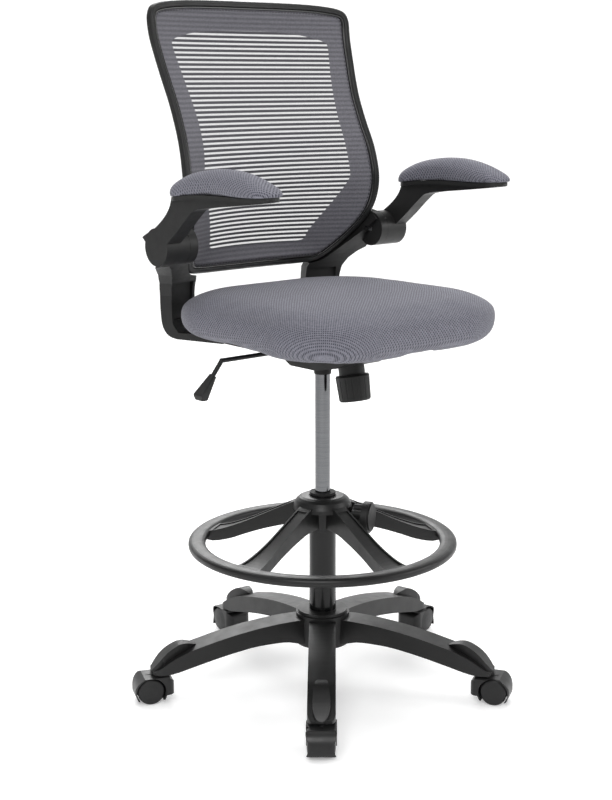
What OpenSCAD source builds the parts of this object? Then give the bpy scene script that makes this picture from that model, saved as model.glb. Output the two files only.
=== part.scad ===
// Drafting chair: mesh back, padded seat, flip-up arms, gas lift, foot ring, five-arm base on casters.
// +Z is up, the floor is z = 0, the column stands on the origin and the chair faces -Y.
// The lift is fully out and the seat is upright.

/* [Base] */
// Radius of the circle that the caster stems stand on
stem_circle_r = 312; // [310:1:316]
// Width of a leg of the base
leg_w = 49; // [46:1:52]
// Diameter of a caster wheel
wheel_d = 50; // [48:1:50]
// Angle of the first leg about the column
first_leg_angle = 228; // [200:1:250]

/* [Lift] */
// Outer diameter of the column tube
column_d = 50; // [49:1:51]
// Height of the column tube's top end
column_top = 367; // [364:1:369]
// Diameter of the bright gas cylinder
cylinder_d = 28; // [27:1:28]

/* [Foot ring] */
// Outer diameter of the ring
ring_d = 500; // [494:1:508]
// Height of the middle of the ring
ring_z = 275; // [273:1:277]

/* [Seat] */
// Width of the cushion
seat_w = 490; // [484:1:500]
// Length of the cushion, front to back
seat_l = 468; // [460:1:472]
// Height of the cushion's crown
seat_top = 756; // [750:1:760]

/* [Back] */
// Height of the top of the back frame
back_top = 1257; // [1250:1:1260]
// How far the back's centre line lies behind its edges
back_bow = 22; // [15:1:28]

/* [Arms] */
// Height of the arm pivots
pivot_z = 835; // [833:1:837]
// Distance of the arm pivots behind the column
pivot_y = 109; // [107:1:111]

/* [Hidden] */
$fn = 48;

// Colours
black_plastic = "#2b2b2b";
black_gloss = "#161616";
grey_fabric = "#7d7d86";
bright_steel = "#b9babd";
dark_steel = "#4c4d50";
rubber_black = "#1d1d1d";

// Clearances
run_gap = 0.1;      // on the diameter of a shaft that turns or slides
body_gap = 0.4;     // between faces that pass each other

// ---------- curves ----------

// A point of the Catmull-Rom curve between b and c, at t from 0 to 1
function catmull(a, b, c, d, t) =
    0.5 * (2 * b + (c - a) * t + (2 * a - 5 * b + 4 * c - d) * t * t
           + (3 * b - a - 3 * c + d) * t * t * t);

// An open curve through the points, with n steps between two of them
function smooth(p, n = 4) = [
    for (i = [0 : len(p) - 2])
        for (k = [0 : n - 1])
            catmull(p[max(i - 1, 0)], p[i], p[i + 1], p[min(i + 2, len(p) - 1)], k / n),
    p[len(p) - 1]
];

// The value at x on a table of [x, value] rows, along the same curve
function curve_at(x, table, i = 0) =
    (i >= len(table) - 2 || x <= table[i + 1][0])
        ? catmull(table[max(i - 1, 0)][1], table[i][1], table[i + 1][1], table[min(i + 2, len(table) - 1)][1],
                  min(1, max(0, (x - table[i][0]) / (table[i + 1][0] - table[i][0]))))
        : curve_at(x, table, i + 1);

// A point of a rounded box outline: a is the angle, square is 1 for an ellipse and less for squarer
function rounded(a, rx, ry, square) = [
    rx * sign(cos(a)) * pow(abs(cos(a)), square),
    ry * sign(sin(a)) * pow(abs(sin(a)), square)
];

// Triangle faces of a closed tube of rings, each with m points, that joins on to itself
function loop_faces(rings, m) = [
    for (i = [0 : rings - 1])
        for (j = [0 : m - 1])
            let (a = i * m + j, b = i * m + (j + 1) % m,
                 c = ((i + 1) % rings) * m + (j + 1) % m, d = ((i + 1) % rings) * m + j)
            for (face = [[a, b, c], [a, c, d]]) face
];

// Faces of an open tube of rings with flat ends
function tube_faces(rings, m) = concat(
    [for (i = [0 : rings - 2])
        for (j = [0 : m - 1])
            let (a = i * m + j, b = i * m + (j + 1) % m, c = (i + 1) * m + (j + 1) % m, d = (i + 1) * m + j)
            for (face = [[a, b, c], [a, c, d]]) face],
    [[for (j = [0 : m - 1]) m - 1 - j]],
    [[for (j = [0 : m - 1]) (rings - 1) * m + j]]
);

// Extrudes a side outline drawn in [distance from the column, height], centred on its plane
module side_plate(points, thickness) {
    rotate([90, 0, 0])
        translate([0, 0, -thickness / 2])
            linear_extrude(thickness) polygon(points);
}

// A cylinder along +X, from x
module rod_x(d, x, length) {
    translate([x, 0, 0]) rotate([0, 90, 0]) cylinder(d = d, h = length);
}

// Places children on the left as drawn, or mirrored to the chair's right
module on_side(side) {
    mirror([side == "right" ? 1 : 0, 0, 0]) children();
}

// ---------- base ----------

hub_r = 50;
hub_bottom = 79;
hub_top = 144;
collar_d = 92;
leg_step = 72;
leg_wall = 4.5;
socket_top = 74;
stem_bottom = 46.5;
stem_d = 11;
leg_foot_z = 55;
cap_w = 31;
cap_r = 312;

function leg_angle(i) = first_leg_angle + (i - 1) * leg_step;

leg_top = [[30, 131], [60, 131.5], [105, 128], [150, 121.5], [193, 113], [235, 102.5], [258, 96], [288, 84],
           [312, 70], [328, leg_foot_z + 5]];
leg_under = [[328, leg_foot_z], [294, 55], [252, 65], [210, 75.5], [170, 84], [133, 90], [84, 92], [60, 88],
             [30, 80]];
cap_top = [[238, 96], [254, 104], [272, 107], [288, 102], [306, 90], [322, 72.5], [332, 59]];

module leg_plan(w) {
    translate([20, -w / 2]) square([stem_circle_r - 20, w]);
    translate([stem_circle_r, 0]) circle(d = w);
}

module leg() {
    intersection() {
        side_plate(concat(smooth(leg_top, 3), smooth(leg_under, 3)), leg_w);
        translate([0, 0, 45]) linear_extrude(120) leg_plan(leg_w);
    }
}

module leg_hollow() {
    intersection() {
        side_plate(concat([for (p = smooth(leg_top, 3)) p - [0, leg_wall]], [[328, 45], [30, 45]]), leg_w);
        translate([0, 0, 40]) linear_extrude(120)
            translate([62, -leg_w / 2 + leg_wall])
                square([stem_circle_r - 62 - stem_d / 2 - 6, leg_w - 2 * leg_wall]);
    }
}

module leg_rib(r) {
    intersection() {
        leg();
        translate([r, -leg_w / 2 + 1, leg_foot_z]) cube([3, leg_w - 2, 90]);
    }
}

module leg_cap() {
    intersection() {
        side_plate(concat(smooth(cap_top, 4), [[332, leg_foot_z + 1], [238, leg_foot_z + 24]]), leg_w);
        translate([0, 0, leg_foot_z]) linear_extrude(90)
            polygon(concat(
                [for (a = [-100 : 10 : 100]) [cap_r + cap_w * 0.62 * cos(a), cap_w / 2 * sin(a)]],
                smooth([[cap_r - 6, 15.5], [cap_r - 33, 12.5], [cap_r - 56, 8], [cap_r - 66, 3],
                        [cap_r - 68, 0]], 3),
                smooth([[cap_r - 68, 0], [cap_r - 66, -3], [cap_r - 56, -8], [cap_r - 33, -12.5],
                        [cap_r - 6, -15.5]], 3)));
    }
}

module base_star() {
    color(black_plastic)
    difference() {
        union() {
            translate([0, 0, hub_bottom]) cylinder(r = hub_r, h = hub_top - 6 - hub_bottom);
            translate([0, 0, hub_top - 8]) cylinder(d = collar_d, h = 8);
            for (i = [1 : 5]) rotate(leg_angle(i)) {
                difference() {
                    leg();
                    leg_hollow();
                }
                leg_rib(130);
                leg_rib(190);
                leg_cap();
            }
        }
        translate([0, 0, hub_bottom - 10]) cylinder(d = column_d, h = hub_top);
        for (i = [1 : 5]) rotate(leg_angle(i)) {
            translate([stem_circle_r, 0, leg_foot_z - 10])
                cylinder(d = stem_d + run_gap, h = socket_top - leg_foot_z + 10);
        }
    }
}

// ---------- casters ----------

wheel_r = wheel_d / 2;
wheel_offset = 22;      // from the stem out to the axle
axle_d = 6;
hood_r = 29;
hood_gap_r = 26.4;
hood_w = 53;
hood_corner = 13;
web_t = 6;
wheel_in = web_t / 2 + body_gap;
wheel_out = 23.5;
hood_top_z = 54;
hood_edge_r = 9;

// Places children in a caster's frame: x points out from the column, the stem stands on the origin
module caster_place(i) {
    rotate(leg_angle(i)) translate([stem_circle_r, 0, 0]) children();
}

module hood_outline() {
    difference() {
        union() {
            circle(r = hood_r);
            translate([-43, -8]) square([20, 20]);
            translate([-33, 12]) circle(r = 10);
            translate([-wheel_offset - 12, 10]) square([24, hood_top_z - wheel_r - 10]);
        }
        circle(r = hood_gap_r);
        translate([-60, -60]) square([120, 44]);
        translate([-45, hood_top_z - wheel_r]) square([90, 20]);
    }
}

// The hood from above, with its corners rounded
module hood_plan() {
    translate([-43, hood_corner - hood_w / 2]) square([43 + hood_r, hood_w - 2 * hood_corner]);
    translate([hood_corner - 43, -hood_w / 2]) square([43 + hood_r - 2 * hood_corner, hood_w]);
    for (x = [hood_corner - 43, hood_r - hood_corner], y = [-1, 1])
        translate([x, y * (hood_w / 2 - hood_corner)]) circle(r = hood_corner);
}

// The hood from the end, with its upper edges rounded
module hood_end() {
    half = hood_w / 2;
    translate([-half, -40]) square([hood_w, 40 + hood_r - hood_edge_r]);
    translate([hood_edge_r - half, 0]) square([hood_w - 2 * hood_edge_r, hood_r]);
    for (y = [-1, 1]) translate([y * (half - hood_edge_r), hood_r - hood_edge_r]) circle(r = hood_edge_r);
}

module caster_hood(i) {
    color(black_plastic)
    caster_place(i)
    difference() {
        translate([wheel_offset, 0, wheel_r]) rotate([90, 0, 0]) {
            intersection() {
                translate([0, 0, -hood_w / 2]) linear_extrude(hood_w) hood_outline();
                rotate([90, 0, 0]) translate([0, 0, -60]) linear_extrude(120) hood_plan();
                rotate([0, 90, 0]) rotate(90) translate([0, 0, -60]) linear_extrude(120) hood_end();
            }
            translate([0, 0, -web_t / 2]) linear_extrude(web_t) {
                difference() {
                    circle(r = hood_gap_r + 1);
                    translate([-60, -73]) square([120, 62]);
                }
            }
            translate([0, 0, -web_t / 2]) cylinder(d = 13, h = web_t);
        }
        translate([wheel_offset, hood_w, wheel_r]) rotate([90, 0, 0]) cylinder(d = axle_d, h = 2 * hood_w);
        translate([0, 0, stem_bottom]) cylinder(d = stem_d, h = 20);
    }
}

module caster_pins(i) {
    color(bright_steel)
    caster_place(i) {
        translate([0, 0, stem_bottom]) cylinder(d = stem_d, h = socket_top - 1 - stem_bottom);
        translate([wheel_offset, 18, wheel_r]) rotate([90, 0, 0]) cylinder(d = axle_d, h = 36);
    }
}

module wheel(i, side) {
    color(black_plastic)
    caster_place(i)
    translate([wheel_offset, 0, wheel_r])
    rotate([side == "left" ? -90 : 90, 0, 0])
    difference() {
        rotate_extrude($fn = 64)
            polygon(concat(
                [[0, wheel_in], [wheel_r - 2, wheel_in], [wheel_r, wheel_in + 2]],
                [for (a = [0 : 15 : 90]) [wheel_r - 5 + 5 * cos(a), wheel_out - 5 + 5 * sin(a)]],
                [[10, wheel_out + 1.2], [0, wheel_out + 1.6]]));
        translate([0, 0, wheel_in - 1]) cylinder(d = axle_d + run_gap, h = 19.6 - wheel_in);
    }
}

// ---------- lift ----------

column_bottom = 50;
column_bore = 44;
plate_t = 5;
rod_d = 10;
bush_h = 92;
bush_lip = 4;
cylinder_bottom = column_top - bush_h + 6;
cylinder_top = 634.5;
cylinder_bore = 24;
piston_h = 8;
piston_z = cylinder_bottom + 7;

module column_tube() {
    color(black_gloss)
    difference() {
        translate([0, 0, column_bottom]) cylinder(d = column_d, h = column_top - column_bottom, $fn = 64);
        translate([0, 0, column_bottom + plate_t]) cylinder(d = column_bore, h = column_top, $fn = 64);
        translate([0, 0, column_bottom - 1]) cylinder(d = rod_d + 2, h = plate_t + 2);
    }
}

module guide_bush() {
    color(black_plastic)
    difference() {
        union() {
            translate([0, 0, column_top - bush_h]) cylinder(d = column_bore, h = bush_h, $fn = 64);
            translate([0, 0, column_top]) cylinder(d = column_d - 2, h = bush_lip, $fn = 64);
        }
        translate([0, 0, column_top - bush_h - 1])
            cylinder(d = cylinder_d + run_gap, h = bush_h + bush_lip + 2, $fn = 64);
    }
}

race_z = column_bottom + plate_t;
ball_d = 4;
ball_circle_d = 18;

module thrust_race() {
    color(bright_steel)
    translate([0, 0, race_z])
    difference() {
        cylinder(d = 26, h = 2);
        translate([0, 0, -1]) cylinder(d = rod_d + 2, h = 4);
    }
}

module thrust_balls() {
    color(bright_steel) {
        for (k = [0 : 7]) rotate(k * 45)
            translate([ball_circle_d / 2, 0, race_z + 2 + 0.3 + ball_d / 2]) sphere(d = ball_d, $fn = 24);
        translate([0, 0, race_z + 2 + 0.3 + ball_d - 0.2])
        difference() {
            cylinder(d = 26, h = 2);
            translate([0, 0, -1]) cylinder(d = rod_d, h = 4);
        }
    }
}

module bump_stop() {
    color(rubber_black)
    translate([0, 0, race_z + 8.3])
    difference() {
        cylinder(d = 30, h = 14);
        translate([0, 0, -1]) cylinder(d = rod_d, h = 16);
    }
}

module piston_rod() {
    color(bright_steel) {
        translate([0, 0, column_bottom - 6]) cylinder(d = rod_d, h = piston_z + 1 - column_bottom + 6);
        translate([0, 0, piston_z]) cylinder(d = cylinder_bore - run_gap, h = piston_h, $fn = 64);
    }
}

module rod_clip() {
    color(dark_steel)
    translate([0, 0, column_bottom - 2.4])
    difference() {
        cylinder(d = 18, h = 2);
        translate([0, 0, -1]) cylinder(d = rod_d, h = 4);
    }
}

module gas_cylinder() {
    color(bright_steel)
    difference() {
        translate([0, 0, cylinder_bottom])
            cylinder(d = cylinder_d, h = cylinder_top - cylinder_bottom, $fn = 64);
        translate([0, 0, cylinder_bottom + 6.5]) cylinder(d = cylinder_bore, h = 240, $fn = 64);
        translate([0, 0, cylinder_bottom - 1]) cylinder(d = rod_d + run_gap, h = 10);
        translate([0, 0, cylinder_top - 12]) cylinder(d = button_d + run_gap, h = 20);
    }
}

button_d = 8;
button_top = cylinder_top + 4;

module release_button() {
    color(dark_steel)
    translate([0, 0, cylinder_top - 7]) cylinder(d = button_d, h = button_top - cylinder_top + 7);
}

// ---------- foot ring ----------

ring_w = 32;
ring_h = 18;
ring_r = ring_d / 2 - ring_w / 2;
spoke_first = first_leg_angle + 36;
sleeve_d = 55;
sleeve_bottom = 298.5;
dome_top = 365;
dome_d = 110;
dome_edge_z = 340;
knob_angle = first_leg_angle + 72;
knob_z = 329;

spoke_top = [[24, 353], [48, 351], [65, 344.5], [109, 323], [146, 305], [184, 289.5], [210, 282], [234, 279]];
spoke_under = [[234, 268], [212, 261], [179, 267.5], [149, 279], [116, 291], [86, 300], [61, 306], [24, 307]];

// Half the width of a spoke at a distance from the column
function spoke_half(r) = curve_at(r, [[20, 14], [60, 14], [110, 15], [160, 17], [205, 22], [238, 29]]);

module spoke_plan(inset) {
    distances = [for (r = [20 : 15 : 230]) r];
    polygon(concat(
        [for (r = distances) [r, spoke_half(r) - inset]],
        [for (k = [len(distances) - 1 : -1 : 0]) [distances[k], inset - spoke_half(distances[k])]]));
}

module spoke() {
    difference() {
        intersection() {
            side_plate(concat(smooth(spoke_top, 3), smooth(spoke_under, 3)), 90);
            translate([0, 0, 260]) linear_extrude(120) spoke_plan(0);
        }
        intersection() {
            side_plate(concat([for (p = smooth(spoke_top, 3)) p - [0, 2.2]], [[234, 400], [24, 400]]), 90);
            translate([0, 0, 260]) linear_extrude(120)
                intersection() {
                    spoke_plan(3.4);
                    translate([62, -60]) square([152, 120]);
                }
        }
        intersection() {
            side_plate(concat([for (p = smooth(spoke_top, 3)) p - [0, 7]], [[234, 240], [24, 240]]), 90);
            translate([0, 0, 250]) linear_extrude(120)
                intersection() {
                    spoke_plan(3.4);
                    translate([62, -60]) square([150, 120]);
                }
        }
    }
}

module foot_ring() {
    color(black_plastic)
    difference() {
        union() {
            rotate_extrude($fn = 96)
                translate([ring_r, ring_z])
                    polygon([for (a = [0 : 15 : 345]) rounded(a, ring_w / 2, ring_h / 2, 0.75)]);
            for (i = [0 : 4]) rotate(spoke_first + i * leg_step) spoke();
            rotate_extrude($fn = 64)
                polygon(concat(
                    [[24, sleeve_bottom + 6], [33, sleeve_bottom + 6], [34, dome_edge_z - 4],
                     [dome_d / 2 - 2, dome_edge_z]],
                    [for (a = [0 : 15 : 75])
                        [33 + 22 * cos(a), dome_edge_z + (dome_top - dome_edge_z) * sin(a)]],
                    [[24, dome_top]]));
            rotate(knob_angle) translate([28, 0, knob_z]) rod_x(22, 0, 27);
        }
        translate([0, 0, sleeve_bottom - 10]) cylinder(d = sleeve_d + run_gap, h = 100, $fn = 64);
        rotate(knob_angle) translate([20, 0, knob_z]) rod_x(8 + run_gap, 0, 60);
    }
}

module ring_sleeve() {
    color(black_plastic)
    translate([0, 0, sleeve_bottom])
    difference() {
        union() {
            cylinder(d = sleeve_d, h = dome_top - sleeve_bottom, $fn = 64);
            cylinder(d = sleeve_d + 3, h = 5.6, $fn = 64);
        }
        translate([0, 0, -1]) cylinder(d = column_d + run_gap, h = 100, $fn = 64);
    }
}

knob_disc_d = 58;
knob_start = 60;

module ring_knob() {
    color(black_plastic)
    rotate(knob_angle) translate([0, 0, knob_z])
    difference() {
        union() {
            rod_x(34, knob_start, 20);
            for (a = [0 : 60 : 300]) rotate([a, 0, 0]) translate([0, 0, 16]) rod_x(14, knob_start + 2, 20);
            rod_x(knob_disc_d, knob_start + 21, 12);
            rod_x(knob_disc_d - 8, knob_start + 31, 5);
        }
        rod_x(8, knob_start - 1, 18);
    }
}

module ring_stud() {
    color(bright_steel)
    rotate(knob_angle) translate([0, 0, knob_z])
        rod_x(8, sleeve_d / 2 + body_gap, 77 - sleeve_d / 2 - body_gap);
}

// ---------- tilt mechanism ----------

tilt_y = -25;
tilt_z = 639;
housing_w = 104;
housing_wall = 3;
plate_bottom = 665;
plate_h = 4;
board_bottom = plate_bottom + plate_h;
tension_y = -74.8;
tension_z = 628.3;
tension_tilt = 10.5;
lever_y = 10;
lever_z = 643.5;
boot_bottom = 593.5;
boot_top = 610.3;

housing_side = [[-118, 651], [-112, 657], [-30, 657], [0, 657], [44, 646], [50, 637], [46, 619],
                [30, boot_top], [-40, boot_top], [-95, 622], [-116, 633]];

// The tension axis: +Z of the children points down along the bolt, from the point where it starts
module on_tension_axis() {
    translate([0, tension_y, tension_z]) rotate([180 - tension_tilt, 0, 0]) children();
}

// Extrudes a side outline drawn in [y, z] across the chair, centred on x = 0
module cross_plate(points, width) {
    rotate([90, 0, 90]) translate([0, 0, -width / 2]) linear_extrude(width) polygon(points);
}

housing_inside = [[-110, 650], [-110, 670], [40, 670], [46, 641], [42, 623], [26, boot_top + housing_wall],
                  [-38, boot_top + housing_wall], [-93, 625], [-110, 635]];

neck_d = 47;
neck_end = 25.5;

module mechanism_housing() {
    color(black_plastic)
    difference() {
        union() {
            difference() {
                union() {
                    cross_plate(housing_side, housing_w);
                    on_tension_axis() translate([0, 0, 4]) cylinder(d = neck_d, h = neck_end - 4);
                }
                cross_plate(housing_inside, housing_w - 2 * housing_wall);
                on_tension_axis() translate([0, 0, -10]) cylinder(d = neck_d - 8, h = neck_end + 6);
            }
            translate([0, 0, boot_top + 1]) cylinder(d = cylinder_d + 9, h = 18);
            translate([0, lever_y, lever_z]) rod_x(24, -housing_w / 2 - 2, 4);
        }
        translate([0, 0, boot_top - 5]) cylinder(d = cylinder_d, h = 60, $fn = 64);
        translate([0, tilt_y, tilt_z]) rod_x(10 + run_gap, -80, 160);
        translate([0, lever_y, lever_z]) rod_x(18 + run_gap, -80, 60);
        on_tension_axis() translate([0, 0, neck_end - 10]) cylinder(d = 8 + run_gap, h = 20);
    }
}

module rod_boot() {
    color(rubber_black)
    difference() {
        translate([0, 0, boot_bottom]) cylinder(d1 = 31, d2 = 34, h = boot_top - boot_bottom);
        translate([0, 0, boot_bottom - 1]) cylinder(d = cylinder_d, h = 30, $fn = 64);
    }
}

knob_flutes = 16;

module tension_knob() {
    color(black_plastic)
    on_tension_axis() translate([0, 0, neck_end + body_gap])
    difference() {
        union() {
            cylinder(d1 = 58, d2 = 61, h = 3);
            translate([0, 0, 3]) cylinder(d1 = 61, d2 = 57, h = 41);
            translate([0, 0, 44]) cylinder(d1 = 57, d2 = 52, h = 3);
        }
        for (k = [0 : knob_flutes - 1]) rotate(k * 360 / knob_flutes)
            translate([31.6, 0, 5]) rotate([0, -2.8, 0]) cylinder(d = 4, h = 60, $fn = 16);
        translate([0, 0, -1]) cylinder(d = 8, h = 31);
    }
}

module tension_bolt() {
    color(bright_steel)
    on_tension_axis() translate([0, 0, -22]) cylinder(d = 8, h = neck_end + body_gap + 22 + 28);
}

module tension_nut() {
    color(dark_steel)
    on_tension_axis() translate([0, 0, -16])
    difference() {
        translate([-13, -13, 0]) cube([26, 26, 8]);
        translate([0, 0, -1]) cylinder(d = 8 + run_gap, h = 10);
    }
}

spring_turns = 4.5;
spring_wire = 3.6;

module tension_spring() {
    steps = 72;
    sides = 8;
    color(dark_steel)
    on_tension_axis() translate([0, 0, -3.4])
        polyhedron(
            points = [for (i = [0 : steps], j = [0 : sides - 1])
                let (a = i * spring_turns * 360 / steps, b = j * 360 / sides,
                     r = 14 + spring_wire / 2 * cos(b))
                [r * cos(a), r * sin(a), i * 22 / steps + spring_wire / 2 * sin(b)]],
            faces = [for (f = tube_faces(steps + 1, sides)) [for (k = [len(f) - 1 : -1 : 0]) f[k]]]);
}

// ---------- height lever ----------

module lever_bush() {
    color(dark_steel)
    translate([0, lever_y, lever_z])
    difference() {
        rod_x(18, -66, 24);
        translate([-90, -4.3, -6.6]) cube([60, 8.6, 13.2]);
        translate([-54, 20, 0]) rotate([90, 0, 0]) cylinder(d = 4, h = 40);
    }
}

module lever_pin() {
    color(bright_steel)
    translate([-54, lever_y + 8.8, lever_z]) rotate([90, 0, 0]) cylinder(d = 4, h = 17.6);
}

lever_bend_x = -224;
lever_drop = 39;        // angle between the rod's bent end and straight down
bent_l = 56;
paddle_x = -36;          // where the paddle over the gas button starts
grip_from = 31;
grip_l = 50;

module lever_rod() {
    color(rubber_black)
    difference() {
        union() {
            translate([0, lever_y, lever_z]) {
                rod_x(8, lever_bend_x, paddle_x + 6 - lever_bend_x);
                translate([lever_bend_x, 0, 0]) sphere(d = 8.8);
                translate([paddle_x, -18, -3]) cube([56, 24, 6]);
            }
            translate([lever_bend_x, lever_y, lever_z])
                rotate([0, 180 + lever_drop, 0]) cylinder(d = 8, h = bent_l);
        }
        translate([-54, lever_y + 20, lever_z]) rotate([90, 0, 0]) cylinder(d = 4 + run_gap, h = 40);
    }
}

module lever_grip() {
    color(black_plastic)
    translate([lever_bend_x, lever_y, lever_z]) rotate([0, 180 + lever_drop, 0])
    difference() {
        hull() {
            translate([0, 0, grip_from]) cylinder(d = 13, h = 1, $fn = 32);
            translate([-3, -12, grip_from + grip_l - 8]) rotate([-90, 0, 0])
                cylinder(d = 9, h = 24, $fn = 24);
            translate([3, -12, grip_from + grip_l - 8]) rotate([-90, 0, 0]) cylinder(d = 9, h = 24, $fn = 24);
            translate([0, -9, grip_from + grip_l - 3]) rotate([-90, 0, 0]) cylinder(d = 6, h = 18, $fn = 24);
        }
        translate([0, 0, grip_from - 1]) cylinder(d = 8, h = bent_l + 1 - grip_from);
    }
}

// ---------- seat ----------

seat_y = -38;
seat_corner_r = 136;
board_inset = 34;
board_t = 10;
board_top = board_bottom + board_t;

// A rounded trapezoid, a little narrower at the back
module seat_outline(inset) {
    half_w = seat_w / 2 - inset;
    half_l = seat_l / 2 - inset;
    r = seat_corner_r - inset;
    polygon(concat(
        [for (a = [0 : 10 : 90]) [half_w - 6 - r + r * cos(a), seat_y + half_l - r + r * sin(a)]],
        [for (a = [90 : 10 : 180]) [r - half_w + 6 + r * cos(a), seat_y + half_l - r + r * sin(a)]],
        [for (a = [180 : 10 : 270]) [r - half_w + r * cos(a), seat_y - half_l + r + r * sin(a)]],
        [for (a = [270 : 10 : 360]) [half_w - r + r * cos(a), seat_y - half_l + r + r * sin(a)]]));
}

module seat_plate() {
    color(dark_steel)
    difference() {
        union() {
            translate([-80, -150, plate_bottom]) cube([160, 250, plate_h]);
            for (x = [-1, 1])
                translate([x * (housing_w / 2 + body_gap + 1.5) - 1.5, 0, 0])
                    rotate([90, 0, 90]) linear_extrude(3)
                        polygon([[-60, plate_bottom + 1], [-3, plate_bottom + 1], [-6, tilt_z + 6],
                                 [-16, tilt_z - 12], [-34, tilt_z - 12], [-50, tilt_z + 6]]);
        }
        translate([0, tilt_y, tilt_z]) rod_x(10, -80, 160);
        for (p = plate_holes) translate([p[0], p[1], plate_bottom - 1]) cylinder(d = 7, h = 10);
    }
}

plate_holes = [[-68, -130], [68, -130], [-68, 80], [68, 80]];
bolt_head_h = 4;

module tilt_pin() {
    color(bright_steel)
    translate([0, tilt_y, tilt_z]) rod_x(10, -60, 120);
}

module seat_board() {
    color(black_plastic)
    difference() {
        translate([0, 0, board_bottom]) linear_extrude(board_t) seat_outline(board_inset);
        for (p = plate_holes) translate([p[0], p[1], board_bottom - 1]) cylinder(d = 6, h = board_t - 1);
        for (s = [-1, 1], q = foot_holes)
            translate([s * foot_hole(q)[0], foot_hole(q)[1], board_bottom - 1])
                cylinder(d = 6, h = board_t - 1);
    }
}

module seat_cushion() {
    color(grey_fabric)
    difference() {
        hull() {
            translate([0, 0, 697]) linear_extrude(20) seat_outline(0);
            translate([0, 0, 686]) linear_extrude(41) seat_outline(6);
            translate([0, 0, board_bottom + 4]) linear_extrude(62) seat_outline(20);
            translate([0, -4, seat_top - 20]) linear_extrude(13) seat_outline(50);
            translate([0, -4, seat_top - 2]) linear_extrude(2) seat_outline(100);
        }
        translate([0, 0, 650]) linear_extrude(board_top + 0.1 - 650) seat_outline(board_inset - 0.2);
        translate([0, 0, 600]) linear_extrude(board_bottom + 4 - 600)
            intersection() {
                seat_outline(-10);
                translate([-400, -120]) square([800, 500]);
            }
    }
}

module seat_bolts() {
    color(dark_steel) {
        for (p = plate_holes) translate([p[0], p[1], plate_bottom - bolt_head_h]) {
            cylinder(d = 12, h = bolt_head_h);
            cylinder(d = 6, h = bolt_head_h + plate_h + board_t - 3);
        }
        for (s = [-1, 1], q = foot_holes) translate([s * foot_hole(q)[0], foot_hole(q)[1], foot_z - 3]) {
            cylinder(d = 12, h = 3);
            cylinder(d = 6, h = 3 + foot_t + board_t - 3);
        }
    }
}

// ---------- side brackets ----------

bracket_x = 173;      // middle of the upright
bracket_y = 202;
bracket_turn = -18;     // the upright follows the seat's rounded corner
foot_z = 657;
foot_t = board_bottom - foot_z;
foot_holes = [[14, -104], [14, -70]];
pin_d = 12;
boss_in = 220;
boss_out = 237;
boss_d = 66;
arm_out = 286;

// A foot hole's place in the chair's frame, from its place along the bracket
function foot_hole(q) = [
    bracket_x + q[0] * cos(bracket_turn) - q[1] * sin(bracket_turn),
    bracket_y + q[0] * sin(bracket_turn) + q[1] * cos(bracket_turn)
];

// Side view of the upright, [distance behind its middle, height]: the rear line up, then the front line down
bracket_rear = [[-20, foot_z], [-2, foot_z + 5], [10, 677], [14, 701], [15, 735], [11, 765], [-3, 797],
                [-22, 824], [-42, 850], [-62, 878]];
bracket_front = [[-95, 855], [-73, 831], [-50, 807], [-30, 784], [-16, 759], [-11, 734], [-11, 701],
                 [-13, 683], [-24, board_bottom]];
// Front view of the upright, [distance out from its middle, height]
bracket_outline = [[35, 648], [36, 690], [36, 735], [40, 758], [50, 774], [66, 788], [84, 798], [100, 806],
                   [100, 864], [80, 872], [58, 860], [32, 835], [4, 810], [-22, 784], [-35, 758], [-36, 725],
                   [-35, 690], [-30, 648]];

module bracket_shell() {
    translate([bracket_x, bracket_y, 0]) rotate(bracket_turn)
    difference() {
        intersection() {
            cross_plate_at(concat([[-120, foot_z]], smooth(bracket_rear, 3), smooth(bracket_front, 3),
                                  [[-120, board_bottom]]), -60, 170);
            translate([0, 60, 0]) rotate([90, 0, 0]) linear_extrude(220) polygon(bracket_outline);
        }
        // The channel in the upright's front face
        translate([-28, -60, 690]) cube([56, 52.5, 66]);
    }
}

module cross_plate_at(points, x, width) {
    translate([x, 0, 0]) rotate([90, 0, 90]) linear_extrude(width) polygon(points);
}

module side_bracket(side) {
    color(black_plastic)
    on_side(side)
    difference() {
        union() {
            intersection() {
                bracket_shell();
                translate([0, -100, 600]) cube([boss_out, 400, 400]);
            }
            translate([0, pivot_y, pivot_z]) rod_x(boss_d, boss_in, boss_out - boss_in);
        }
        translate([0, pivot_y, pivot_z]) rod_x(pin_d, boss_in - 20, 60);
        for (q = foot_holes)
            translate([foot_hole(q)[0], foot_hole(q)[1], foot_z - 5]) cylinder(d = 6, h = foot_t + 10);
        back_envelope();
    }
}

module arm_pivots() {
    color(bright_steel)
    for (side = ["left", "right"]) on_side(side)
        translate([0, pivot_y, pivot_z]) rod_x(pin_d, boss_in + 1, arm_out - 8 - boss_in - 1);
}

// ---------- arms ----------

arm_w = 28;
arm_x = 272;         // middle of the arm
pad_x = 269;         // middle of the pad
pad_w = 57;

arm_upper = [[150, 850], [130, 860], [112, 868], [86, 886.5], [69, 905], [62, 922]];
arm_deck = [[62, 924], [26, 928.5], [-24, 932.5], [-86, 933.5], [-138, 933.5], [-190, 936]];
arm_lower = [[-192, 935], [-186, 930], [-168, 926], [-90, 917], [-12, 908], [12, 896.5], [54, 861], [92, 832],
             [112, 818]];
pad_crown = [[70, 924.4], [68, 934], [50, 949], [10, 965], [-46, 973.5], [-96, 973], [-138, 965], [-172, 952],
             [-190, 942], [-192, 936.6]];
pad_front = -192;
pad_rear = 70;
pad_gap = 0.3;

// The arm's deck from the front to the rear, dz above it
function deck_back(dz) =
    let (deck = smooth(arm_deck, 3)) [for (k = [len(deck) - 1 : -1 : 0]) deck[k] + [0, dz]];

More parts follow.
